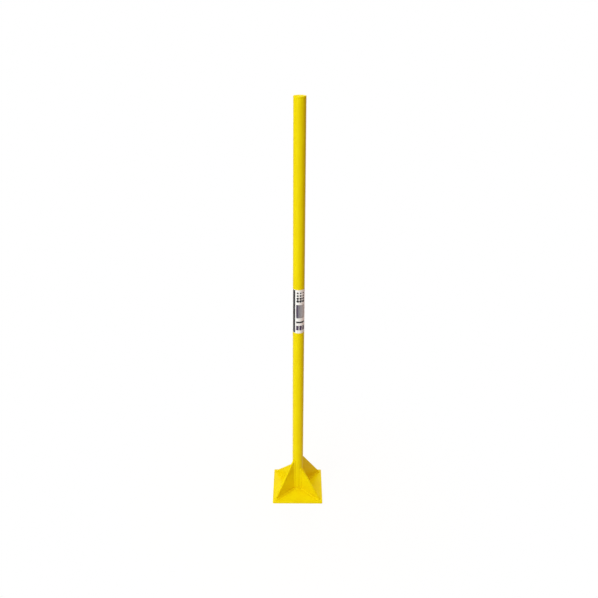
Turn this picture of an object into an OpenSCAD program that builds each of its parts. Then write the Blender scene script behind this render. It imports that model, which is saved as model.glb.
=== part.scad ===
// Hand tamper: a square steel plate welded to the foot of a round tube handle,
// stiffened by four gussets that run out to the plate's corners.
// The sole is at z = 0 and the tube stands on the z axis. The front is -Y.

/* [Base plate] */
// Side of the square base plate
plate_side = 150; // [130:1:200]
// Thickness of the base plate
plate_t = 8; // [6:0.5:16]
// Radius of the plate's four upright corners
plate_corner_r = 3; // [2:0.5:8]
// Radius that the plate's top and bottom edges are ground to
plate_edge_r = 1; // [0.4:0.1:1.8]

/* [Handle tube] */
// Outside diameter of the tube
tube_od = 32; // [26:0.5:42]
// Wall thickness of the tube
tube_wall = 2; // [1.6:0.1:4]
// Length that the tube is cut to
tube_len = 1170; // [800:5:1400]

/* [End disc] */
// Thickness of the disc that closes the top of the tube
disc_t = 3; // [2.5:0.5:6]
// Bevel on the tube's end and under the disc's rim, which leaves a groove for the seal weld
groove = 1.2; // [0.8:0.1:1.5]
// Radius of the disc's top edge
disc_edge_r = 0.8; // [0.3:0.1:1]
// Height that the seal weld stands proud of the tube
seal_crown = 0.3; // [0.1:0.1:0.6]

/* [Gussets] */
// Thickness of the gusset plates
gusset_t = 5; // [3:0.5:8]
// Height of the tall pair, at the front left and the back right
gusset_tall_h = 101; // [80:1:140]
// Height of the low pair, at the front right and the back left
gusset_low_h = 71; // [50:1:110]
// Distance from a gusset's toe to the plate's corner, along the diagonal
toe_setback = 15; // [14:0.5:30]
// Width of the blunt end left at a gusset's toe and at its top
gusset_nose = 6; // [5.5:0.5:12]

/* [Welds] */
// Leg length of the fillet welds
weld_leg = 4; // [3:0.25:5.5]
// Height that a fillet's face bulges beyond flat
weld_crown = 0.5; // [0.2:0.1:1]

/* [Label] */
// Height of the label that is wrapped round the tube
label_h = 130; // [60:1:200]
// Thickness of the label
label_t = 0.2; // [0.1:0.05:0.4]
// Thickness of the adhesive between the label and the tube
label_glue = 0.05; // [0.02:0.01:0.2]
// Height of the label's lower edge above the plate's top
label_z = 542; // [250:1:600]
// Width of bare tube between the label's two ends, at the back
label_seam = 4; // [1:0.5:30]

/* [Hidden] */
$fn = 96;
tube_r = tube_od / 2;
joint_z = plate_t + tube_len;
toe_r = plate_side / sqrt(2) - toe_setback;
run_start = tube_r - weld_leg;
face_r = bulge_radius(weld_leg / sqrt(2), weld_crown);

paint = "gold";
label_paper = "whitesmoke";

front_left_angle = 225;
front_right_angle = 315;
back_right_angle = 45;
back_left_angle = 135;

// Radius of an arc that rises by bulge over a chord of twice half
function bulge_radius(half, bulge) = (half * half + bulge * bulge) / (2 * bulge);

// Point on the tube's outside at an angle, seen from above
function on_tube(angle) = tube_r * [cos(angle), sin(angle)];

// Half of a plate's cross-section, with the two corners of its outer edge rounded
module edge_section(width, thickness, edge_r) {
    square([width - edge_r, thickness]);
    translate([0, edge_r]) square([width, thickness - 2 * edge_r]);
    for (y = [edge_r, thickness - edge_r])
        translate([width - edge_r, y]) circle(r = edge_r);
}

// Square plate with upright corners of corner_r and its edges ground round
module ground_plate(side, thickness, corner_r, edge_r) {
    flat = side - 2 * corner_r;
    translate([-flat / 2, -flat / 2, 0]) cube([flat, flat, thickness]);
    for (turn = [0:90:270]) rotate(turn) {
        translate([flat / 2, 0, 0]) rotate([90, 0, 0])
            linear_extrude(flat, center = true) edge_section(corner_r, thickness, edge_r);
        translate([flat / 2, flat / 2, 0])
            rotate_extrude(angle = 90) edge_section(corner_r, thickness, edge_r);
    }
}

module base_plate() {
    color(paint) ground_plate(plate_side, plate_t, plate_corner_r, plate_edge_r);
}

// Plain tube, bevelled outside at its top end for the seal weld
module handle_tube() {
    bore_r = tube_r - tube_wall;
    color(paint) translate([0, 0, plate_t]) rotate_extrude() polygon([
        [bore_r, 0],
        [tube_r, 0],
        [tube_r, tube_len - groove],
        [tube_r - groove, tube_len],
        [bore_r, tube_len]
    ]);
}

// Disc that closes the tube, bevelled below and rounded above
module end_disc() {
    color(paint) translate([0, 0, joint_z]) rotate_extrude() {
        polygon([
            [0, 0],
            [tube_r - groove, 0],
            [tube_r, groove],
            [tube_r, disc_t - disc_edge_r],
            [tube_r - disc_edge_r, disc_t - disc_edge_r],
            [tube_r - disc_edge_r, disc_t],
            [0, disc_t]
        ]);
        translate([tube_r - disc_edge_r, disc_t - disc_edge_r]) intersection() {
            circle(r = disc_edge_r);
            square(disc_edge_r);
        }
    }
}

// Ring of weld that fills the groove between the tube and the disc
module end_disc_weld() {
    crown_r = bulge_radius(groove, seal_crown);
    color(paint) translate([0, 0, joint_z]) rotate_extrude() {
        polygon([[tube_r - groove, 0], [tube_r, -groove], [tube_r, groove]]);
        intersection() {
            translate([tube_r + seal_crown - crown_r, 0]) circle(r = crown_r);
            translate([tube_r, -groove]) square([seal_crown, 2 * groove]);
        }
    }
}

// Solid bar of the tube's outside, which copes whatever meets the tube
module tube_outside() {
    cylinder(r = tube_r, h = joint_z);
}

// Triangular gusset with blunt ends, standing on the plate and coped to the tube
module gusset(height, direction) {
    color(paint) rotate(direction) difference() {
        translate([0, 0, plate_t]) rotate([90, 0, 0]) linear_extrude(gusset_t, center = true) polygon([
            [0, 0],
            [toe_r, 0],
            [toe_r, gusset_nose],
            [tube_r + gusset_nose, height],
            [0, height]
        ]);
        tube_outside();
    }
}

// Section of a fillet weld in the corner of the first quadrant, with a bulging face
module fillet_section() {
    centre = weld_leg / 2 - (face_r - weld_crown) / sqrt(2);
    intersection() {
        square(2 * weld_leg);
        translate([centre, centre]) circle(r = face_r);
    }
}

// The same fillet with the corner behind it, to trim a weld that runs into it
module fillet_trim() {
    fillet_section();
    translate([-weld_leg, -weld_leg]) square([weld_leg, 3 * weld_leg]);
    translate([-weld_leg, -weld_leg]) square([2 * weld_leg, weld_leg]);
}

// What the weld round the tube's foot takes up, with the tube and plate behind it
module tube_weld_trim() {
    translate([0, 0, plate_t]) rotate_extrude() translate([tube_r, 0]) fillet_trim();
}

// The fillet round the tube's foot in one of the four spaces between gussets
module tube_weld(from) {
    color(paint) difference() {
        translate([0, 0, plate_t]) rotate(from) rotate_extrude(angle = 90)
            translate([tube_r, 0]) fillet_section();
        for (side = [from, from + 90]) rotate(side)
            translate([0, -gusset_t / 2, 0]) cube([toe_r, gusset_t, plate_t + 2 * weld_leg]);
    }
}

// Fillet along both sides of a gusset's foot, carried round its toe
module foot_fillet() {
    translate([0, 0, plate_t]) {
        rotate([90, 0, 0]) translate([toe_r, 0, 0])
            linear_extrude(gusset_t, center = true) fillet_section();
        for (side = [0, 1]) mirror([0, side, 0]) translate([0, gusset_t / 2, 0]) {
            translate([run_start, 0, 0]) rotate([90, 0, 90])
                linear_extrude(toe_r - run_start) fillet_section();
            translate([toe_r, 0, 0]) rotate_extrude(angle = 90) fillet_section();
        }
    }
}

// What the weld along one side of a gusset's foot takes up, with the gusset and plate behind it
module foot_weld_trim() {
    translate([0, gusset_t / 2, plate_t]) rotate([90, 0, 90]) linear_extrude(toe_r) fillet_trim();
}

// The weld along a gusset's foot, ending where it runs into the weld round the tube
module foot_weld(direction) {
    color(paint) difference() {
        rotate(direction) foot_fillet();
        tube_weld_trim();
    }
}

// Section of the bead between the tube and one face of a gusset, seen from above and not yet coped
module shank_section() {
    seat = asin(gusset_t / 2 / tube_r);
    on_gusset = on_tube(seat) + [weld_leg, 0];
    on_shank = on_tube(seat + weld_leg / tube_r * 180 / PI);
    chord = on_shank - on_gusset;
    radius = bulge_radius(norm(chord) / 2, weld_crown);
    outward = [chord[1], -chord[0]] / norm(chord);
    intersection() {
        translate((on_gusset + on_shank) / 2 - outward * (radius - weld_crown)) circle(r = radius);
        translate([run_start, gusset_t / 2]) square(2 * tube_r);
    }
}

// Upright bead on one face of a gusset, standing on the welds at the foot
module shank_run(height) {
    difference() {
        translate([0, 0, plate_t]) linear_extrude(height) difference() {
            shank_section();
            circle(r = tube_r);
        }
        foot_weld_trim();
        tube_weld_trim();
    }
}

// Quarter turn that carries the bead from a gusset's face onto its top
module shank_turn(height) {
    difference() {
        translate([0, gusset_t / 2, plate_t + height]) rotate([90, 0, 90]) rotate_extrude(angle = 90)
            mirror([1, -1]) translate([0, -gusset_t / 2]) shank_section();
        tube_outside();
    }
}

// Short bead across a gusset's top, between the two turns
module shank_top(height) {
    difference() {
        translate([0, 0, plate_t + height]) rotate([90, 0, 0]) linear_extrude(gusset_t, center = true)
            translate([0, -gusset_t / 2]) shank_section();
        tube_outside();
    }
}

// The weld between a gusset and the tube, up one face, over the top and down the other
module shank_weld(height, direction) {
    color(paint) rotate(direction) {
        shank_top(height);
        for (side = [0, 1]) mirror([0, side, 0]) {
            shank_run(height);
            shank_turn(height);
        }
    }
}

// Printed label wrapped round the tube, its ends meeting at the back
module label() {
    seam = label_seam / tube_r * 180 / PI;
    color(label_paper) translate([0, 0, plate_t + label_z]) rotate(90 + seam / 2)
        rotate_extrude(angle = 360 - seam) translate([tube_r + label_glue, 0]) square([label_t, label_h]);
}

base_plate();
handle_tube();
end_disc();
end_disc_weld();

gusset(gusset_tall_h, front_left_angle);  // gusset_front_left
gusset(gusset_low_h, front_right_angle);  // gusset_front_right
gusset(gusset_tall_h, back_right_angle);  // gusset_back_right
gusset(gusset_low_h, back_left_angle);  // gusset_back_left

foot_weld(front_left_angle);  // foot_weld_front_left
foot_weld(front_right_angle);  // foot_weld_front_right
foot_weld(back_right_angle);  // foot_weld_back_right
foot_weld(back_left_angle);  // foot_weld_back_left

shank_weld(gusset_tall_h, front_left_angle);  // shank_weld_front_left
shank_weld(gusset_low_h, front_right_angle);  // shank_weld_front_right
shank_weld(gusset_tall_h, back_right_angle);  // shank_weld_back_right
shank_weld(gusset_low_h, back_left_angle);  // shank_weld_back_left

tube_weld(front_left_angle);  // tube_weld_front
tube_weld(front_right_angle);  // tube_weld_right
tube_weld(back_right_angle);  // tube_weld_back
tube_weld(back_left_angle);  // tube_weld_left

label();
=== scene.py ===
"""Hand tamper: a square steel plate on a round tube handle, welded up with four gussets.

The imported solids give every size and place. This add-on enamels them, lays rippled beads
where the plain weld fillets are, wraps the label and sets a white studio round the tool.
"""

import bisect
import math
import random

import bmesh
import bpy
from mathutils import Matrix, Vector, noise


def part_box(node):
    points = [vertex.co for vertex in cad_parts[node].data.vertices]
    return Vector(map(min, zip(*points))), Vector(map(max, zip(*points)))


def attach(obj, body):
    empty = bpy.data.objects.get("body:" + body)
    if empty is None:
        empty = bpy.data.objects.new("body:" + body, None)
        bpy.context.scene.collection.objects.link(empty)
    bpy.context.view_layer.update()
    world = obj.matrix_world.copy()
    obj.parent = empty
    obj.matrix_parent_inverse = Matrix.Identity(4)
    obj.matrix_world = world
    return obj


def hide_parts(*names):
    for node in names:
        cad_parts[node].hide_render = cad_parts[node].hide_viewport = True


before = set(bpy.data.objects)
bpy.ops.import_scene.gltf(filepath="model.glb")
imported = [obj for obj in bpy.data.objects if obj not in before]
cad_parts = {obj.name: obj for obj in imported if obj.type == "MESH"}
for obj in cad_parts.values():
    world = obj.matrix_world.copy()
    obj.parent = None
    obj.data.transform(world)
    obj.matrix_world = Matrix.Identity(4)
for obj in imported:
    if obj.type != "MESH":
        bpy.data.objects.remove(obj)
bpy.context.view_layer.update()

bl_info = {
    "name": "Hand Tamper",
    "version": (1, 0, 0),
    "blender": (4, 5, 0),
    "location": "View3D > Sidebar > Tamper",
    "description": "Enamel, weld beads, label and studio for a welded hand tamper",
    "category": "Object",
}

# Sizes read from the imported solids, in metres
MM = 0.001
PLATE_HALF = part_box("base_plate")[1].x
PLATE_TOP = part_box("base_plate")[1].z
TUBE_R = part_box("handle_tube")[1].x
SEAL_LOW, SEAL_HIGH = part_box("end_disc_weld")
LABEL_LOW, LABEL_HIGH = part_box("label")
WELD_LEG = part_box("foot_weld_front_left")[1].z - PLATE_TOP

# Direction from the tube to each gusset, and to the middle of each space between them, in degrees
CORNERS = {"front_left": 225, "front_right": 315, "back_right": 45, "back_left": 135}
SPACES = {"front": 270, "right": 0, "back": 90, "left": 180}

UP = Vector((0, 0, 1))
STEEL_SLOT = "yellow_enamel"
LABEL_SLOT = "label_paper"


def srgb(red, green, blue):
    """A colour as a screen shows it, from 0 to 255, turned into linear light."""
    def linear(value):
        share = value / 255
        return share / 12.92 if share <= 0.04045 else ((share + 0.055) / 1.055) ** 2.4
    return (linear(red), linear(green), linear(blue), 1.0)


def heading(angle):
    """Level direction at an angle in degrees, seen from above."""
    return Vector((math.cos(math.radians(angle)), math.sin(math.radians(angle)), 0))


def gusset_sizes(corner):
    """Half thickness, reach of the toe and height of the top of a gusset, from its box."""
    low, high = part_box("gusset_" + corner)
    inner, outer = sorted((abs(low.x), abs(high.x)))
    half = (math.sqrt(2 * (TUBE_R ** 2 - inner ** 2)) - math.sqrt(2) * inner) / 2
    return half, math.sqrt(2) * outer - half, high.z


# Sizes and colours that a user would change

class TAMPER_PG_beads(bpy.types.PropertyGroup):
    """How the weld beads are laid"""
    crown: bpy.props.FloatProperty(
        name="Crown", description="Height that a bead's face bulges beyond flat",
        default=0.4 * MM, min=0.0, max=1.0 * MM, unit="LENGTH", precision=5)
    pitch: bpy.props.FloatProperty(
        name="Ripple pitch", description="Distance from one ripple to the next",
        default=2.3 * MM, min=1.0 * MM, max=6.0 * MM, unit="LENGTH", precision=5)
    ripple: bpy.props.FloatProperty(
        name="Ripple height", description="Height of a ripple at the middle of the bead",
        default=0.17 * MM, min=0.0, max=0.6 * MM, unit="LENGTH", precision=5)
    bow: bpy.props.FloatProperty(
        name="Ripple bow", description="How far a ripple trails behind at the bead's edges, in pitches",
        default=0.55, min=0.0, max=1.5)
    unsteady: bpy.props.FloatProperty(
        name="Unsteadiness", description="Share by which the bead's width and pitch wander",
        default=0.14, min=0.0, max=0.3, subtype="FACTOR")
    lump: bpy.props.FloatProperty(
        name="Lump height", description="Height that the bead swells and sinks by where the hand paused",
        default=0.55 * MM, min=0.0, max=1.5 * MM, unit="LENGTH", precision=5)
    root: bpy.props.FloatProperty(
        name="Root depth", description="Depth that a bead is sunk into the steel behind it",
        default=0.35 * MM, min=0.1 * MM, max=1.0 * MM, unit="LENGTH", precision=5)
    drops: bpy.props.IntProperty(
        name="Spatter drops", description="Number of drops of spatter round the welds",
        default=150, min=0, max=600)
    drop_size: bpy.props.FloatProperty(
        name="Largest drop", description="Radius of the largest drop of spatter",
        default=1.2 * MM, min=0.2 * MM, max=2.0 * MM, unit="LENGTH", precision=5)


class TAMPER_PG_finish(bpy.types.PropertyGroup):
    """Colours and surface of the enamel and the label"""
    enamel: bpy.props.FloatVectorProperty(
        name="Enamel", description="Colour of the enamel at its usual thickness",
        default=srgb(242, 222, 8), size=4, min=0.0, max=1.0, subtype="COLOR")
    # Deeper orange enamel: it drifts in at random where the coat is thick, and is painted shade in the
    # inside corners
    thick_enamel_and_shade: bpy.props.FloatVectorProperty(
        name="Thick enamel", description="Colour of the enamel where it has gathered in a corner",
        default=srgb(226, 174, 4), size=4, min=0.0, max=1.0, subtype="COLOR")
    thin_enamel: bpy.props.FloatVectorProperty(
        name="Thin enamel", description="Colour of the enamel drawn thin over an edge",
        default=srgb(236, 215, 40), size=4, min=0.0, max=1.0, subtype="COLOR")
    shine: bpy.props.FloatProperty(
        name="Shine", description="How strongly the enamel mirrors what is straight before it",
        default=0.08, min=0.0, max=1.0, subtype="FACTOR")
    shine_tint: bpy.props.FloatVectorProperty(
        name="Shine tint", description="Colour that the enamel gives to what it mirrors",
        default=(1.0, 0.86, 0.35, 1.0), size=4, min=0.0, max=1.0, subtype="COLOR")
    edge_radius: bpy.props.FloatProperty(
        name="Gusset edge radius", description="Radius that the gussets' cut edges are dressed to",
        default=0.6 * MM, min=0.0, max=2.0 * MM, unit="LENGTH", precision=5)
    paper: bpy.props.FloatVectorProperty(
        name="Label paper", description="Colour of the label's bare paper",
        default=srgb(250, 250, 253), size=4, min=0.0, max=1.0, subtype="COLOR")
    dark_ink: bpy.props.FloatVectorProperty(
        name="Dark ink", description="Colour of the label's stripe, dots and line",
        default=srgb(34, 34, 38), size=4, min=0.0, max=1.0, subtype="COLOR")
    violet_ink: bpy.props.FloatVectorProperty(
        name="Violet ink", description="Colour of the label's squares and of its panel's edge",
        default=srgb(74, 58, 88), size=4, min=0.0, max=1.0, subtype="COLOR")
    grey_ink: bpy.props.FloatVectorProperty(
        name="Grey ink", description="Colour of the label's shaded panel",
        default=srgb(112, 108, 122), size=4, min=0.0, max=1.0, subtype="COLOR")


class TAMPER_PG_studio(bpy.types.PropertyGroup):
    """Camera, lamps and floor"""
    camera_place: bpy.props.FloatVectorProperty(
        name="Camera place", description="Where the camera stands",
        default=(-2.910 * MM, -1633.36 * MM, 1394.41 * MM), size=3, subtype="XYZ", unit="LENGTH")
    camera_dip: bpy.props.FloatProperty(
        name="Camera dip", description="Angle that the camera looks down from level",
        default=math.radians(24.5882), subtype="ANGLE")
    camera_turn: bpy.props.FloatProperty(
        name="Camera turn", description="Angle that the camera is turned to the right",
        default=math.radians(0.1335), subtype="ANGLE")
    camera_roll: bpy.props.FloatProperty(
        name="Camera roll", description="Angle that the camera is tipped about its own view",
        default=math.radians(0.3409), subtype="ANGLE")
    lens: bpy.props.FloatProperty(
        name="Lens", description="Focal length on a sensor 36 mm wide",
        default=39.713, min=10.0, max=200.0, unit="CAMERA")
    key_power: bpy.props.FloatProperty(
        name="Key power", description="Power of the tall softbox in front at the left",
        default=42.0, min=0.0, unit="POWER")
    overhead_power: bpy.props.FloatProperty(
        name="Overhead power", description="Power of the wide softbox high above",
        default=236.0, min=0.0, unit="POWER")
    back_power: bpy.props.FloatProperty(
        name="Back power", description="Power of the softbox behind",
        default=24.0, min=0.0, unit="POWER")
    lamp_colour: bpy.props.FloatVectorProperty(
        name="Lamp colour", description="Colour of the softboxes",
        default=(0.75, 1.0, 1.0), size=3, min=0.0, max=1.0, subtype="COLOR")
    room_light: bpy.props.FloatVectorProperty(
        name="Room light", description="Light that comes from all round",
        default=(0.51, 0.27, 0.18), size=3, min=0.0, max=1.0, subtype="COLOR")
    dark_side: bpy.props.FloatProperty(
        name="Dark side", description="Share of light that the floor at the right throws back",
        default=0.2, min=0.0, max=1.0, subtype="FACTOR")
    shadow: bpy.props.FloatProperty(
        name="Floor shadow", description="How much of the tool's shadow the white floor keeps",
        default=0.1, min=0.0, max=1.0, subtype="FACTOR")
    shadow_reach: bpy.props.FloatProperty(
        name="Shadow reach", description="Distance from the tool at which the floor is plain white",
        default=0.7, min=0.2, max=5.0, unit="LENGTH")


# Small helpers for shader nodes

def put(tree, kind, values=None, **settings):
    """Adds a node, sets its options and fills its inputs with values or other nodes' outputs."""
    made = tree.nodes.new(kind)
    for option, setting in settings.items():
        setattr(made, option, setting)
    for name, value in (values or {}).items():
        if isinstance(value, bpy.types.NodeSocket):
            tree.links.new(value, made.inputs[name])
        else:
            made.inputs[name].default_value = value
    return made


def maths(tree, operation, first, second=0.0, clamp=False):
    """Output of a Math node."""
    values = {0: first, 1: second}
    return put(tree, "ShaderNodeMath", values, operation=operation, use_clamp=clamp).outputs[0]


def mixed(tree, share, under, over):
    """Output of a Mix node for colours."""
    values = {0: share, 6: under, 7: over}
    return put(tree, "ShaderNodeMix", values, data_type="RGBA").outputs[2]


def ramp(tree, value, low, high, from_value=0.0, to_value=1.0):
    """A value carried smoothly from one range to another and held at its ends."""
    values = {"Value": value, "From Min": low, "From Max": high, "To Min": from_value, "To Max": to_value}
    return put(tree, "ShaderNodeMapRange", values, interpolation_type="SMOOTHSTEP").outputs["Result"]


def grain(tree, place, scale, detail=2.0, roughness=0.5):
    """Output of a Noise Texture, with its scale in features per metre."""
    values = {"Vector": place, "Scale": scale, "Detail": detail, "Roughness": roughness}
    return put(tree, "ShaderNodeTexNoise", values).outputs[0]


def new_group(name, inputs, outputs):
    """An empty shader node group with named sockets, and its two end nodes."""
    tree = bpy.data.node_groups.new(name, "ShaderNodeTree")
    for title, kind in inputs:
        tree.interface.new_socket(title, in_out="INPUT", socket_type=kind)
    for title, kind in outputs:
        tree.interface.new_socket(title, in_out="OUTPUT", socket_type=kind)
    return tree, tree.nodes.new("NodeGroupInput").outputs, tree.nodes.new("NodeGroupOutput").inputs


def lay(tree, effect_name, values):
    """Places a shared effect, fills its inputs and gives its outputs."""
    return put(tree, "ShaderNodeGroup", values, node_tree=effect(effect_name)).outputs


def new_material(name):
    """A new material, its node tree and the inputs of its shader."""
    material = bpy.data.materials.new(name)
    material.use_nodes = True
    tree = material.node_tree
    return material, tree, tree.nodes["Principled BSDF"].inputs


# Shared effects

COLOUR = "NodeSocketColor"
FLOAT = "NodeSocketFloat"


def paint_film_group():
    """Sprayed enamel: slow drift in its colour, a fine orange peel and uneven gloss."""
    tree, given, out = new_group(
        "Paint film",
        [("Enamel", COLOUR), ("Thick", COLOUR), ("Drift", FLOAT), ("Dullness", FLOAT), ("Peel", FLOAT)],
        [("Colour", COLOUR), ("Roughness", FLOAT), ("Height", FLOAT)])
    place = tree.nodes.new("ShaderNodeTexCoord").outputs["Object"]
    cloud = ramp(tree, grain(tree, place, 26.0, 3.0), 0.36, 0.68)
    drift = maths(tree, "MULTIPLY", cloud, given["Drift"])
    tree.links.new(mixed(tree, drift, given["Enamel"], given["Thick"]), out["Colour"])
    sheen = ramp(tree, grain(tree, place, 140.0, 2.0), 0.3, 0.7, -0.05, 0.05)
    tree.links.new(maths(tree, "ADD", given["Dullness"], sheen, clamp=True), out["Roughness"])
    coarse = grain(tree, place, 420.0, 2.0)
    fine = grain(tree, place, 1300.0, 1.0)
    peel = maths(tree, "ADD", coarse, maths(tree, "MULTIPLY", fine, 0.4))
    tree.links.new(maths(tree, "MULTIPLY", peel, given["Peel"]), out["Height"])
    return tree


def pooled_paint_and_shade_group():
    """Mask of the inside corners above the plate, broken up, found from occlusion: where wet enamel
    gathers and dries thick, and where the corners' shade is painted in.
    """
    tree, given, out = new_group("Pooled paint and shade", [("Reach", FLOAT)], [("Mask", FLOAT)])
    reach = {"Distance": given["Reach"]}
    open_sky = put(tree, "ShaderNodeAmbientOcclusion", reach, samples=6).outputs["AO"]
    place = tree.nodes.new("ShaderNodeTexCoord").outputs["Object"]
    height = put(tree, "ShaderNodeSeparateXYZ", {0: place}).outputs["Z"]
    above = ramp(tree, height, 0.5 * PLATE_TOP, 0.9 * PLATE_TOP)
    broken = ramp(tree, grain(tree, place, 130.0, 3.0, 0.6), 0.36, 0.64, 0.1, 1.0)
    # Where the sky is shut in, both thick enamel and painted shade darken the corner
    gathered_and_shaded = maths(tree, "MULTIPLY", ramp(tree, open_sky, 0.97, 0.7), broken)
    tree.links.new(maths(tree, "MULTIPLY", gathered_and_shaded, above), out["Mask"])
    return tree


def thin_edge_group():
    """Mask of the outside edges, broken up, where enamel draws back and dries thin."""
    tree, given, out = new_group("Thin edge", [("Radius", FLOAT)], [("Mask", FLOAT)])
    soft = put(tree, "ShaderNodeBevel", {"Radius": given["Radius"]}, samples=6).outputs["Normal"]
    true = tree.nodes.new("ShaderNodeNewGeometry").outputs["Normal"]
    dot = put(tree, "ShaderNodeVectorMath", {0: soft, 1: true}, operation="DOT_PRODUCT").outputs["Value"]
    place = tree.nodes.new("ShaderNodeTexCoord").outputs["Object"]
    broken = ramp(tree, grain(tree, place, 210.0, 3.0), 0.35, 0.62, 0.25, 1.0)
    tree.links.new(maths(tree, "MULTIPLY", ramp(tree, dot, 0.97, 0.80), broken), out["Mask"])
    return tree


def printed_block_group():
    """Mask of a rectangle on the label, given in millimetres across and up."""
    measures = ("Across", "Up", "Left", "Right", "Bottom", "Top")
    tree, given, out = new_group(
        "Printed block", [(measure, FLOAT) for measure in measures], [("Mask", FLOAT)])
    blur = 0.25
    masks = []
    for value, low, high in (("Across", "Left", "Right"), ("Up", "Bottom", "Top")):
        above = maths(tree, "SUBTRACT", given[value], given[low])
        below = maths(tree, "SUBTRACT", given[high], given[value])
        masks.append(ramp(tree, maths(tree, "MINIMUM", above, below), -blur, blur))
    tree.links.new(maths(tree, "MULTIPLY", *masks), out["Mask"])
    return tree


EFFECTS = {
    "paint_film": paint_film_group,
    "pooled_paint_and_shade": pooled_paint_and_shade_group,
    "thin_edge": thin_edge_group,
    "printed_block": printed_block_group,
}


def effect(name):
    """A shared effect, built the first time that it is asked for."""
    made = EFFECTS[name]
    title = name.replace("_", " ").capitalize()
    return bpy.data.node_groups.get(title) or made()


# Materials

def enamel(name, finish, drift, dullness, peel, shine=1.0,
           pool_and_shade=0.0, pool_and_shade_reach=4 * MM, edge=0.0, edge_reach=1.2 * MM):
    """Yellow enamel for one kind of piece, thick and darkened by painted shade in its corners, and drawn
    thin over its edges.
    """
    material, tree, shader = new_material(name)
    film = lay(tree, "paint_film", {
        "Enamel": finish.enamel, "Thick": finish.thick_enamel_and_shade,
        "Drift": drift, "Dullness": dullness, "Peel": peel})
    colour = film["Colour"]
    roughness = film["Roughness"]
    # Thick enamel and painted shade in the inside corners, from occlusion
    if pool_and_shade:
        gathered_and_shaded = maths(tree, "MULTIPLY", lay(tree, "pooled_paint_and_shade", {"Reach": pool_and_shade_reach})["Mask"], pool_and_shade)
        colour = mixed(tree, gathered_and_shaded, colour, finish.thick_enamel_and_shade)
    if edge:
        drawn = maths(tree, "MULTIPLY", lay(tree, "thin_edge", {"Radius": edge_reach})["Mask"], edge)
        colour = mixed(tree, drawn, colour, finish.thin_enamel)
        roughness = maths(tree, "ADD", roughness, maths(tree, "MULTIPLY", drawn, 0.12))
    tree.links.new(colour, shader["Base Color"])
    tree.links.new(roughness, shader["Roughness"])
    bump = put(tree, "ShaderNodeBump", {"Height": film["Height"], "Strength": 1.0, "Distance": 1.0})
    tree.links.new(bump.outputs["Normal"], shader["Normal"])
    shader["Specular IOR Level"].default_value = finish.shine * shine
    shader["Specular Tint"].default_value = finish.shine_tint
    return material


def tube_enamel(finish):
    """The handle's even coat."""
    return enamel("tube_enamel", finish, drift=0.12, dullness=0.38, peel=0.020 * MM, pool_and_shade=0.7)


def disc_enamel(finish):
    """The end disc's coat, dulled by hands."""
    return enamel("disc_enamel", finish, drift=0.12, dullness=0.55, peel=0.022 * MM, shine=0.1, edge=0.5)


def gusset_enamel(finish):
    """The gussets' coat, thin over their cut edges."""
    return enamel("gusset_enamel", finish, drift=0.17, dullness=0.40, peel=0.024 * MM, pool_and_shade=0.7, edge=0.5)


def plate_enamel(finish):
    """The plate's coat, with the coarsest orange peel."""
    return enamel("plate_enamel", finish, drift=0.17, dullness=0.40, peel=0.026 * MM, pool_and_shade=0.7, edge=0.5)


def weld_enamel(finish):
    """The coat over the beads, smooth where it has flowed between the ripples."""
    return enamel(
        "weld_enamel", finish, drift=0.2, dullness=0.34, peel=0.012 * MM, pool_and_shade=0.7, pool_and_shade_reach=2 * MM)


# The print, in millimetres round the tube from its front and up from the label's lower edge,
# with the dots' radii in dot pitches
PRINT_LEFT = -6.6
PRINT_RIGHT = 18.0
STRIPE = (-19.0, -9.8, 1.0, 129.0)
PANEL_HEIGHTS = (46.0, 86.0)
PANEL_EDGE = 4.6
PANEL_FADE = 0.45
LINE_HEIGHTS = (31.0, 36.0)
SQUARES = 3
SQUARE_HEIGHTS = (9.0, 23.0)
SQUARE_WIDTH = 7.0
SQUARE_PITCH = 8.8
DOT_PITCH = 8.0
DOT_COLUMNS = 3
DOT_ROWS = 4
DOT_LOW = 93.0
DOT_RADII = (0.48, 0.28)


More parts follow.
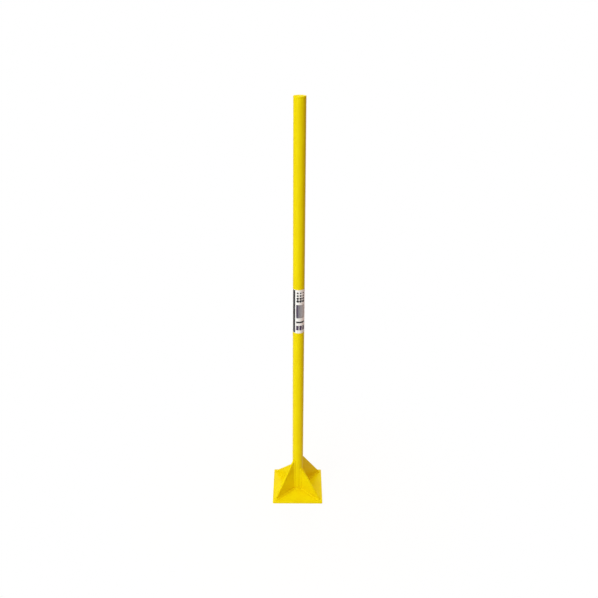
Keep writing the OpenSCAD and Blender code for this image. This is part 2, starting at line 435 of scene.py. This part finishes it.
def label_print(finish):
    """Varnished paper with a plain print: a side stripe, fading dots, a shaded panel and squares."""
    material, tree, shader = new_material("label_print")
    place = tree.nodes.new("ShaderNodeTexCoord").outputs["Object"]
    at = put(tree, "ShaderNodeSeparateXYZ", {0: place}).outputs
    turn = maths(tree, "ARCTAN2", at["X"], maths(tree, "MULTIPLY", at["Y"], -1.0))
    across = maths(tree, "MULTIPLY", turn, TUBE_R / MM)
    up = maths(tree, "DIVIDE", maths(tree, "SUBTRACT", at["Z"], LABEL_LOW.z), MM)

    def printed(under, ink, left, right, bottom, top, share=1.0):
        """The colour so far with a block of ink over it."""
        sides = {"Across": across, "Up": up, "Left": left, "Right": right, "Bottom": bottom, "Top": top}
        mask = lay(tree, "printed_block", sides)["Mask"]
        return mixed(tree, maths(tree, "MULTIPLY", mask, share), under, ink)

    def from_dot(value, first):
        """Distance from the middle of the nearest dot in a row, in dot pitches."""
        count = maths(tree, "DIVIDE", maths(tree, "SUBTRACT", value, first), DOT_PITCH)
        return maths(tree, "SUBTRACT", maths(tree, "FRACT", count), 0.5)

    mottle = grain(tree, place, 700.0, 3.0)
    fibres = grain(tree, place, 2400.0, 2.0)
    colour = mixed(tree, ramp(tree, mottle, 0.45, 0.75, 0.0, 0.12), finish.paper, finish.grey_ink)
    colour = printed(colour, finish.dark_ink, *STRIPE)
    fading = ramp(tree, across, PRINT_LEFT + 0.6, PRINT_RIGHT, 1.0, PANEL_FADE)
    colour = printed(colour, finish.grey_ink, PRINT_LEFT, PRINT_RIGHT, *PANEL_HEIGHTS, fading)
    colour = printed(colour, finish.violet_ink, PRINT_LEFT, PRINT_LEFT + PANEL_EDGE, *PANEL_HEIGHTS)
    # Dots that shrink towards the top
    dots_right = PRINT_LEFT + DOT_COLUMNS * DOT_PITCH
    dots_high = DOT_LOW + DOT_ROWS * DOT_PITCH
    offsets = {0: from_dot(across, PRINT_LEFT), 1: from_dot(up, DOT_LOW)}
    offset = put(tree, "ShaderNodeCombineXYZ", offsets).outputs[0]
    from_middle = put(tree, "ShaderNodeVectorMath", {0: offset}, operation="LENGTH").outputs["Value"]
    radius = ramp(tree, up, DOT_LOW, dots_high, *DOT_RADII)
    dotted = ramp(tree, maths(tree, "SUBTRACT", radius, from_middle), -0.03, 0.03)
    colour = printed(colour, finish.dark_ink, PRINT_LEFT, dots_right, DOT_LOW, dots_high, dotted)
    for index in range(SQUARES):
        left = PRINT_LEFT + index * SQUARE_PITCH
        colour = printed(colour, finish.violet_ink, left, left + SQUARE_WIDTH, *SQUARE_HEIGHTS)
    colour = printed(colour, finish.dark_ink, PRINT_LEFT, PRINT_RIGHT, *LINE_HEIGHTS)
    tree.links.new(colour, shader["Base Color"])
    tree.links.new(ramp(tree, mottle, 0.3, 0.7, 0.36, 0.46), shader["Roughness"])
    bump = put(tree, "ShaderNodeBump", {"Height": fibres, "Strength": 1.0, "Distance": 0.004 * MM})
    tree.links.new(bump.outputs["Normal"], shader["Normal"])
    shader["Specular IOR Level"].default_value = 0.3
    return material


# Mesh helpers

def skin(name, rings, closed, material, sharp=math.radians(50)):
    """A closed skin over a row of rings of points, joined end to end or capped at both ends."""
    shell = bmesh.new()
    rows = [[shell.verts.new(point) for point in ring] for ring in rings]
    following = rows[1:] + rows[:1] if closed else rows[1:]
    for near, far in zip(rows, following):
        for this in range(len(near)):
            after = (this + 1) % len(near)
            shell.faces.new((near[this], near[after], far[after], far[this]))
    if not closed:
        shell.faces.new(rows[0])
        shell.faces.new(rows[-1])
    return finish_mesh(name, shell, material, sharp)


def finish_mesh(name, shell, material, sharp):
    """Turns a bmesh into a linked object with smooth faces, broken at sharp edges."""
    bmesh.ops.recalc_face_normals(shell, faces=shell.faces)
    for face in shell.faces:
        face.smooth = True
    mesh = bpy.data.meshes.new(name)
    shell.to_mesh(mesh)
    shell.free()
    mesh.set_sharp_from_angle(angle=sharp)
    mesh.materials.append(material)
    piece = bpy.data.objects.new(name, mesh)
    bpy.context.scene.collection.objects.link(piece)
    return piece


def dress(node, material):
    """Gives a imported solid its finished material."""
    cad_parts[node].material_slots[0].material = material


def fit(piece, slot, *nodes):
    """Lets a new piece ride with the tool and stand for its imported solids."""
    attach(piece, "root")
    if nodes:
        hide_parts(*nodes)


def material_once(name, make, finish):
    """A material that several operators share."""
    return bpy.data.materials.get(name) or make(finish)


# Weld beads

FACE_STEPS = 9
STEP_LENGTH = 0.42 * MM
TURN_LENGTH = 0.5 * WELD_LEG * math.pi / 2
LEG_WAVE = 6 * MM
LUMP_WAVE = 4.5 * MM
CROWN_POWER = 1.4
RIPPLE_LEAN = 0.65
RIPPLE_STRENGTHS = (0.35, 1.15)
BEAD_SEED = 11


class Ripples:
    """The ripples along one bead, laid by an unsteady hand."""

    def __init__(self, length, beads, seed):
        hand = random.Random(seed)
        self.marks = [-2 * beads.pitch]
        while self.marks[-1] < length + 2 * beads.pitch:
            step = beads.pitch * hand.uniform(1 - 2 * beads.unsteady, 1 + 2 * beads.unsteady)
            self.marks.append(self.marks[-1] + step)
        self.strength = [hand.uniform(*RIPPLE_STRENGTHS) for _ in self.marks]
        self.beads = beads
        self.seed = seed

    def height(self, place, across):
        """Height of the ripples at a distance along the bead and a share across it."""
        beads = self.beads
        behind = place - beads.bow * beads.pitch * (2 * across - 1) ** 2
        index = min(max(bisect.bisect(self.marks, behind) - 1, 0), len(self.marks) - 2)
        phase = (behind - self.marks[index]) / (self.marks[index + 1] - self.marks[index])
        scale = math.sin(math.pi * min(max(phase, 0.0), 1.0) ** RIPPLE_LEAN)
        return beads.ripple * self.strength[index] * scale

    def growth(self, place, side):
        """How the bead's leg on one side grows and shrinks along the way."""
        wave = noise.noise(Vector((place / LEG_WAVE, 7.3 * side, self.seed)))
        return 1 + self.beads.unsteady * wave

    def swell(self, place, across):
        """How far the bead's face swells or sinks where the hand paused or hurried."""
        wave = noise.noise(Vector((place / LUMP_WAVE, 1.5 * across, 3.7 * self.seed)))
        return self.beads.lump * wave


def bead_rings(stations, beads, seed):
    """Rings of a bead from its stations: a distance, the corner and the two legs from it."""
    ripples = Ripples(stations[-1][0], beads, seed)
    rings = []
    for place, corner, leg_a, leg_b in stations:
        side_a = leg_a.normalized()
        side_b = leg_b.normalized()
        toe_a = corner + leg_a * ripples.growth(place, 1)
        toe_b = corner + leg_b * ripples.growth(place, 2)
        outward = (side_a + side_b).normalized()
        ring = []
        for step in range(FACE_STEPS + 1):
            across = step / FACE_STEPS
            arch = math.sin(math.pi * across)
            bulge = ripples.height(place, across) + ripples.swell(place, across)
            lift = beads.crown * arch ** CROWN_POWER + bulge * arch
            ring.append(toe_a.lerp(toe_b, across) + outward * lift)
        ring.append(toe_b - side_a * beads.root)
        ring.append(corner - (side_a + side_b) * beads.root)
        ring.append(toe_a - side_b * beads.root)
        rings.append(ring)
    return rings


def steps(length):
    """Shares from 0 to 1 that divide a length into short steps."""
    count = max(2, math.ceil(length / STEP_LENGTH))
    return [index / count for index in range(count + 1)]


class BeadPath:
    """Stations of a bead, gathered stretch by stretch."""

    def __init__(self):
        self.stations = []
        self.length = 0.0

    def stretch(self, length, station):
        """Adds a stretch: station gives the corner and both legs at a share of its length."""
        for share in steps(length)[1 if self.stations else 0:]:
            self.stations.append((self.length + share * length, *station(share)))
        self.length += length


def foot_path(corner):
    """Round a gusset's foot: out along one face, round the toe and back along the other."""
    half, toe, _ = gusset_sizes(corner)
    out = heading(CORNERS[corner])
    left = UP.cross(out)
    start = TUBE_R + 0.5 * WELD_LEG
    path = BeadPath()

    def at(along, side, face):
        return (out * along + left * side + UP * PLATE_TOP, face * WELD_LEG, UP * WELD_LEG)

    def turned(degrees):
        return Matrix.Rotation(math.radians(degrees), 3, "Z") @ out

    path.stretch(toe - start, lambda share: at(start + share * (toe - start), half, left))
    path.stretch(TURN_LENGTH, lambda share: at(toe, half, turned(90 * (1 - share))))
    path.stretch(2 * half, lambda share: at(toe, half * (1 - 2 * share), out))
    path.stretch(TURN_LENGTH, lambda share: at(toe, -half, turned(-90 * share)))
    path.stretch(toe - start, lambda share: at(toe - share * (toe - start), -half, -left))
    return path.stations


def shank_path(corner):
    """Between a gusset and the tube: up one face, over the top and down the other."""
    half, _, top = gusset_sizes(corner)
    out = heading(CORNERS[corner])
    left = UP.cross(out)
    start = PLATE_TOP + 0.4 * WELD_LEG
    seat = math.asin(half / TUBE_R)
    reach = TUBE_R * math.sin(seat + WELD_LEG / TUBE_R) - half
    path = BeadPath()

    def on_tube(side, height):
        return out * math.sqrt(TUBE_R ** 2 - side ** 2) + left * side + UP * height

    def at(side, height, lean):
        """Station at a point of the joint, with the bead leaning from the face (0) to the top (90)."""
        sign = math.copysign(1.0, side) if side else 1.0
        tilt = math.radians(lean)
        root = on_tube(side, height)
        toe = on_tube(side + sign * reach * math.cos(tilt), height + reach * math.sin(tilt))
        return (root, out * WELD_LEG, toe - root)

    path.stretch(top - start, lambda share: at(half, start + share * (top - start), 0))
    path.stretch(TURN_LENGTH, lambda share: at(half, top, 90 * share))
    path.stretch(2 * half, lambda share: at(half * (1 - 2 * share), top, 90))
    path.stretch(TURN_LENGTH, lambda share: at(-half, top, 90 * (1 - share)))
    path.stretch(top - start, lambda share: at(-half, top - share * (top - start), 0))
    return path.stations


def tube_path(space):
    """Round the tube's foot, from one gusset to the next."""
    half = gusset_sizes("front_left")[0]
    spread = 90 - 2 * math.degrees(math.asin(half / TUBE_R))
    path = BeadPath()

    def at(share):
        out = heading(SPACES[space] + (share - 0.5) * spread)
        return (out * TUBE_R + UP * PLATE_TOP, out * WELD_LEG, UP * WELD_LEG)

    path.stretch(math.radians(spread) * (TUBE_R + 0.5 * WELD_LEG), at)
    return path.stations


# Operators

class TAMPER_OT_paint_plate(bpy.types.Operator):
    """Enamel the base plate"""
    bl_idname = "tamper.paint_plate"
    bl_label = "Paint the plate"

    def execute(self, context):
        dress("base_plate", plate_enamel(context.scene.tamper_finish))
        return {"FINISHED"}


class TAMPER_OT_paint_handle(bpy.types.Operator):
    """Enamel the tube and the disc that closes it"""
    bl_idname = "tamper.paint_handle"
    bl_label = "Paint the handle"

    def execute(self, context):
        finish = context.scene.tamper_finish
        dress("handle_tube", tube_enamel(finish))
        dress("end_disc", disc_enamel(finish))
        return {"FINISHED"}


class TAMPER_OT_paint_gussets(bpy.types.Operator):
    """Enamel the four gussets and dress their cut edges"""
    bl_idname = "tamper.paint_gussets"
    bl_label = "Paint the gussets"

    def execute(self, context):
        finish = context.scene.tamper_finish
        material = gusset_enamel(finish)
        for corner in CORNERS:
            node = "gusset_" + corner
            dress(node, material)
            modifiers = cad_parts[node].modifiers
            modifiers.new("Join faces", "WELD").merge_threshold = 0.01 * MM
            edges = modifiers.new("Dressed edges", "BEVEL")
            edges.width = finish.edge_radius
            edges.segments = 3
            edges.limit_method = "ANGLE"
            modifiers.new("Flat faces", "WEIGHTED_NORMAL")
        return {"FINISHED"}


class TAMPER_OT_lay_welds(bpy.types.Operator):
    """Lay the beads round the gussets' feet, up the tube and round the tube's foot"""
    bl_idname = "tamper.lay_welds"
    bl_label = "Lay the weld beads"

    def execute(self, context):
        beads = context.scene.tamper_beads
        material = material_once("weld_enamel", weld_enamel, context.scene.tamper_finish)
        seed = BEAD_SEED
        kinds = (("foot", foot_path, CORNERS), ("shank", shank_path, CORNERS), ("tube", tube_path, SPACES))
        for kind, path, places in kinds:
            for place in places:
                seed += 1
                rings = bead_rings(path(place), beads, seed)
                piece = skin(f"{kind}_bead_{place}", rings, False, material)
                fit(piece, STEEL_SLOT, f"{kind}_weld_{place}")
        return {"FINISHED"}


SEAL_STEPS = 240
SEAL_FACE_STEPS = 6
SEAL_WAVES = 9
SEAL_WANDER = 0.25
SEAL_ROOT = 0.1


class TAMPER_OT_lay_seal(bpy.types.Operator):
    """Lay the seal bead between the tube and its end disc, dressed nearly flush"""
    bl_idname = "tamper.lay_seal"
    bl_label = "Lay the seal bead"

    def execute(self, context):
        material = material_once("weld_enamel", weld_enamel, context.scene.tamper_finish)
        middle = (SEAL_LOW.z + SEAL_HIGH.z) / 2
        depth = (SEAL_HIGH.z - SEAL_LOW.z) / 2
        crown = SEAL_HIGH.x - TUBE_R
        rings = []
        for index in range(SEAL_STEPS):
            out = heading(360 * index / SEAL_STEPS)
            wander = noise.noise(out * SEAL_WAVES)
            ring = []
            for step in range(SEAL_FACE_STEPS + 1):
                across = 2 * step / SEAL_FACE_STEPS - 1
                lift = crown * (1 - across ** 2) * (1 - SEAL_WANDER + SEAL_WANDER * wander)
                ring.append(out * (TUBE_R + lift) + UP * (middle + across * depth))
            ring.append(out * (TUBE_R - depth) + UP * (middle + SEAL_ROOT * depth))
            ring.append(out * (TUBE_R - depth) + UP * (middle - SEAL_ROOT * depth))
            rings.append(ring)
        piece = skin("seal_bead", rings, True, material)
        fit(piece, STEEL_SLOT, "end_disc_weld")
        return {"FINISHED"}


SPATTER_SEED = 5
SPATTER_ASIDE = 6 * MM
SPATTER_UP = 20 * MM
SPATTER_TURN = 22
DROP_SIZES = (0.4, 1.0)
DROP_ROUNDNESS = (0.8, 1.0)
DROP_HEIGHT = 0.7


class TAMPER_OT_scatter_spatter(bpy.types.Operator):
    """Scatter drops of weld spatter over the steel near the welds"""
    bl_idname = "tamper.scatter_spatter"
    bl_label = "Scatter the spatter"

    def execute(self, context):
        beads = context.scene.tamper_beads
        hand = random.Random(SPATTER_SEED)
        half, toe, _ = gusset_sizes("front_left")
        clear = WELD_LEG + beads.drop_size
        shell = bmesh.new()
        for index in range(beads.drops):
            size = beads.drop_size * hand.uniform(*DROP_SIZES) ** 2
            if index % 2:
                centre, normal = self.on_plate(hand, half, toe, clear)
            else:
                centre, normal = self.on_tube(hand, clear)
            turn = normal.to_track_quat("Z", "Y").to_matrix().to_4x4()
            breadth = size * hand.uniform(*DROP_ROUNDNESS)
            shape = Matrix.Diagonal((size, breadth, size * DROP_HEIGHT, 1.0))
            bmesh.ops.create_icosphere(
                shell, subdivisions=2, radius=1.0, matrix=Matrix.Translation(centre) @ turn @ shape)
        material = material_once("weld_enamel", weld_enamel, context.scene.tamper_finish)
        fit(finish_mesh("weld_spatter", shell, material, math.pi), STEEL_SLOT)
        return {"FINISHED"}

    @staticmethod
    def on_plate(hand, half, toe, clear):
        """A place on the plate's top, beside a gusset's foot."""
        corner = hand.choice(list(CORNERS))
        out = heading(CORNERS[corner])
        aside = (half + clear + abs(hand.gauss(0.0, SPATTER_ASIDE))) * hand.choice((-1, 1))
        reach = min(toe, math.sqrt(2) * (PLATE_HALF - clear) - abs(aside))
        along = hand.uniform(TUBE_R + clear + abs(aside), reach)
        return out * along + UP.cross(out) * aside + UP * PLATE_TOP, UP

    @staticmethod
    def on_tube(hand, clear):
        """A place on the tube's foot, between two gussets or just above them."""
        out = heading(SPACES[hand.choice(list(SPACES))] + hand.uniform(-SPATTER_TURN, SPATTER_TURN))
        height = PLATE_TOP + clear + abs(hand.gauss(0.0, SPATTER_UP))
        return out * TUBE_R + UP * height, out


LABEL_THICKNESS = 0.2 * MM
LABEL_CORNER = 3 * MM
LABEL_SEAM = 4 * MM
LABEL_CREASE = 0.05 * MM
CREASE_ACROSS = 9 * MM
CREASE_UP = 24 * MM
CREASE_SEED = 3.1
LABEL_COLUMNS = 180
LABEL_ROWS = 44


class TAMPER_OT_wrap_label(bpy.types.Operator):
    """Wrap the printed label round the tube, with its seam at the back"""
    bl_idname = "tamper.wrap_label"
    bl_label = "Wrap the label"

    def execute(self, context):
        outer = LABEL_HIGH.x
        columns = LABEL_COLUMNS
        rows = LABEL_ROWS
        girth = 2 * math.pi * TUBE_R - LABEL_SEAM
        shell = bmesh.new()
        skins = []
        for inset in (0.0, LABEL_THICKNESS):
            grid = []
            for column in range(columns + 1):
                arc = girth * column / columns
                from_end = min(arc, girth - arc)
                missing = max(0.0, LABEL_CORNER - from_end)
                trim = LABEL_CORNER - math.sqrt(LABEL_CORNER ** 2 - missing ** 2)
                out = heading(90 + math.degrees((LABEL_SEAM / 2 + arc) / TUBE_R))
                line = []
                for row in range(rows + 1):
                    share = row / rows
                    height = LABEL_LOW.z + trim + share * (LABEL_HIGH.z - LABEL_LOW.z - 2 * trim)
                    wave = noise.noise(Vector((arc / CREASE_ACROSS, height / CREASE_UP, CREASE_SEED)))
                    crease = LABEL_CREASE * max(0.0, wave)
                    line.append(shell.verts.new(out * (outer - inset + crease) + UP * height))
                grid.append(line)
            skins.append(grid)
        for grid in skins:
            for near, far in zip(grid, grid[1:]):
                for row in range(rows):
                    shell.faces.new((near[row], near[row + 1], far[row + 1], far[row]))
        front, back = (self.rim(grid) for grid in skins)
        for this in range(len(front)):
            after = (this + 1) % len(front)
            shell.faces.new((front[this], front[after], back[after], back[this]))
        material = label_print(context.scene.tamper_finish)
        fit(finish_mesh("label_wrap", shell, material, math.radians(40)), LABEL_SLOT, "label")
        return {"FINISHED"}

    @staticmethod
    def rim(grid):
        """The corners round the edge of one face of the label, in order."""
        start = grid[0]
        top = [line[-1] for line in grid[1:]]
        end = reversed(grid[-1][:-1])
        bottom = [line[0] for line in reversed(grid[1:-1])]
        return [*start, *top, *end, *bottom]


# Place and size of each softbox, in metres
KEY_BOX = ((-1.53, -2.10, 1.2), (1.8, 2.4))
OVERHEAD_BOX = ((0.0, 0.0, 7.0), (4.0, 4.0))
BACK_BOX = ((-0.3, 2.8, 1.6), (1.6, 2.0))
LAMPS_AIM = Vector((0, 0, 0.6))

# The floor: half sides of its square and border, drop below the sole, and where shade begins and ends
FLOOR_HALVES = (0.5, 60.0)
FLOOR_DROP = 0.05 * MM
FLOOR_PALE = 0.86
SHADOW_START = 0.1
DARK_FROM = -0.1
DARK_TO = 0.8
SOLE_LIGHT = (1.0, 0.93, 0.9, 1.0)
SOLE_STRENGTH = 0.72
WHITE = (1.0, 1.0, 1.0, 1.0)


class TAMPER_OT_set_stage(bpy.types.Operator):
    """Set the white floor, the lamps, the room light and the camera"""
    bl_idname = "tamper.set_stage"
    bl_label = "Set the stage"

    def execute(self, context):
        studio = context.scene.tamper_studio
        self.floor(studio)
        self.room(context.scene, studio)
        self.softbox("key_softbox", *KEY_BOX, studio.key_power, studio.lamp_colour)
        self.softbox("overhead_softbox", *OVERHEAD_BOX, studio.overhead_power, studio.lamp_colour)
        self.softbox("back_softbox", *BACK_BOX, studio.back_power, studio.lamp_colour)
        self.camera(context.scene, studio)
        context.scene.view_settings.view_transform = "Standard"
        return {"FINISHED"}

    @staticmethod
    def seen(tree):
        """1 for the rays that should find a white background, or else 0."""
        rays = tree.nodes.new("ShaderNodeLightPath").outputs
        mirrored = maths(tree, "ADD", rays["Is Glossy Ray"], rays["Is Transmission Ray"])
        return maths(tree, "ADD", rays["Is Camera Ray"], mirrored, clamp=True)

    def floor(self, studio):
        """The white floor, a small square near the tool and a wide border round it."""
        corners = ((-1, -1), (1, -1), (1, 1), (-1, 1))
        points = [(x * half, y * half, -FLOOR_DROP) for half in FLOOR_HALVES for x, y in corners]
        surround = [(this, 4 + this, 4 + (this + 1) % 4, (this + 1) % 4) for this in range(4)]
        mesh = bpy.data.meshes.new("floor")
        mesh.from_pydata(points, [], [(0, 1, 2, 3), *surround])
        material, tree, _ = new_material("white_floor")
        tree.nodes.remove(tree.nodes["Principled BSDF"])
        place = tree.nodes.new("ShaderNodeTexCoord").outputs["Object"]
        # Near the tool the floor shows its shadow, and further off it is plain white
        away = put(tree, "ShaderNodeVectorMath", {0: place}, operation="LENGTH").outputs["Value"]
        shade = ramp(tree, away, SHADOW_START, studio.shadow_reach, studio.shadow, 0.0)
        white = put(tree, "ShaderNodeEmission", {"Strength": 1.0}).outputs[0]
        paper = put(tree, "ShaderNodeBsdfDiffuse", {"Color": WHITE}).outputs[0]
        shown = put(tree, "ShaderNodeMixShader", {0: shade, 1: white, 2: paper}).outputs[0]
        # It throws less light back from the right, as a dark room does beyond a white sweep
        side = put(tree, "ShaderNodeSeparateXYZ", {0: place}).outputs["X"]
        pale = ramp(tree, side, DARK_FROM, DARK_TO, FLOOR_PALE, studio.dark_side)
        sweep = put(tree, "ShaderNodeBsdfDiffuse", {"Color": pale}).outputs[0]
        # The sole lies against the floor, and takes a plain light from it to be seen from below
        rays = tree.nodes.new("ShaderNodeLightPath").outputs
        touching = maths(tree, "LESS_THAN", rays["Ray Length"], 2 * MM)
        glow_values = {"Color": SOLE_LIGHT, "Strength": SOLE_STRENGTH}
        glow = put(tree, "ShaderNodeEmission", glow_values).outputs[0]
        bounced = put(tree, "ShaderNodeMixShader", {0: touching, 1: sweep, 2: glow}).outputs[0]
        above = put(tree, "ShaderNodeMixShader", {0: self.seen(tree), 1: bounced, 2: shown}).outputs[0]
        clear = tree.nodes.new("ShaderNodeBsdfTransparent").outputs[0]
        below = tree.nodes.new("ShaderNodeNewGeometry").outputs["Backfacing"]
        both = put(tree, "ShaderNodeMixShader", {0: below, 1: above, 2: clear}).outputs[0]
        tree.links.new(both, tree.nodes["Material Output"].inputs["Surface"])
        mesh.materials.append(material)
        sheet = bpy.data.objects.new("floor", mesh)
        bpy.context.scene.collection.objects.link(sheet)

    def room(self, scene, studio):
        """Light from all round, before a plain white background."""
        scene.world = bpy.data.worlds.new("studio_room")
        scene.world.use_nodes = True
        tree = scene.world.node_tree
        tree.nodes.clear()
        lit = put(tree, "ShaderNodeBackground", {"Color": (*studio.room_light, 1.0)}).outputs[0]
        white = put(tree, "ShaderNodeBackground", {"Color": WHITE}).outputs[0]
        both = put(tree, "ShaderNodeMixShader", {0: self.seen(tree), 1: lit, 2: white}).outputs[0]
        put(tree, "ShaderNodeOutputWorld", {"Surface": both})

    @staticmethod
    def softbox(name, place, size, power, colour):
        """A flat lamp turned to the tool."""
        lamp = bpy.data.lights.new(name, "AREA")
        lamp.shape = "RECTANGLE"
        lamp.size, lamp.size_y = size
        lamp.energy = power
        lamp.color = colour
        holder = bpy.data.objects.new(name, lamp)
        holder.location = place
        holder.rotation_euler = (LAMPS_AIM - Vector(place)).to_track_quat("-Z", "Y").to_euler()
        bpy.context.scene.collection.objects.link(holder)

    @staticmethod
    def camera(scene, studio):
        """The camera at the photo's viewpoint."""
        view = bpy.data.cameras.new("camera")
        view.sensor_width = 36.0
        view.lens = studio.lens
        view.clip_end = 200.0
        holder = bpy.data.objects.new("camera", view)
        turn = Matrix.Rotation(-studio.camera_turn, 4, "Z")
        dip = Matrix.Rotation(math.pi / 2 - studio.camera_dip, 4, "X")
        roll = Matrix.Rotation(studio.camera_roll, 4, "Z")
        holder.matrix_world = Matrix.Translation(studio.camera_place) @ turn @ dip @ roll
        scene.collection.objects.link(holder)
        scene.camera = holder


STEPS = (
    TAMPER_OT_set_stage, TAMPER_OT_paint_plate, TAMPER_OT_paint_handle, TAMPER_OT_paint_gussets,
    TAMPER_OT_lay_welds, TAMPER_OT_lay_seal, TAMPER_OT_scatter_spatter, TAMPER_OT_wrap_label,
)
SETTINGS = {
    "tamper_beads": TAMPER_PG_beads,
    "tamper_finish": TAMPER_PG_finish,
    "tamper_studio": TAMPER_PG_studio,
}


class TAMPER_PT_sidebar(bpy.types.Panel):
    """Lists the steps and the settings in the sidebar"""
    bl_idname = "TAMPER_PT_sidebar"
    bl_label = "Hand Tamper"
    bl_space_type = "VIEW_3D"
    bl_region_type = "UI"
    bl_category = "Tamper"

    def draw(self, context):
        for step in STEPS:
            self.layout.operator(step.bl_idname)
        for name, group in SETTINGS.items():
            box = self.layout.box()
            for setting in group.__annotations__:
                box.prop(getattr(context.scene, name), setting)


CLASSES = (*SETTINGS.values(), *STEPS, TAMPER_PT_sidebar)


def register():
    """Adds the classes, and the settings to every scene."""
    for made in CLASSES:
        bpy.utils.register_class(made)
    for name, group in SETTINGS.items():
        setattr(bpy.types.Scene, name, bpy.props.PointerProperty(type=group))


def unregister():
    """Takes the settings and the classes away again."""
    for name in SETTINGS:
        delattr(bpy.types.Scene, name)
    for made in reversed(CLASSES):
        bpy.utils.unregister_class(made)


def main():
    """Builds the finished tool in its studio."""
    register()
    bpy.ops.tamper.set_stage()
    bpy.ops.tamper.paint_plate()
    bpy.ops.tamper.paint_handle()
    bpy.ops.tamper.paint_gussets()
    bpy.ops.tamper.lay_welds()
    bpy.ops.tamper.lay_seal()
    bpy.ops.tamper.scatter_spatter()
    bpy.ops.tamper.wrap_label()


if __name__ == "__main__":
    main()
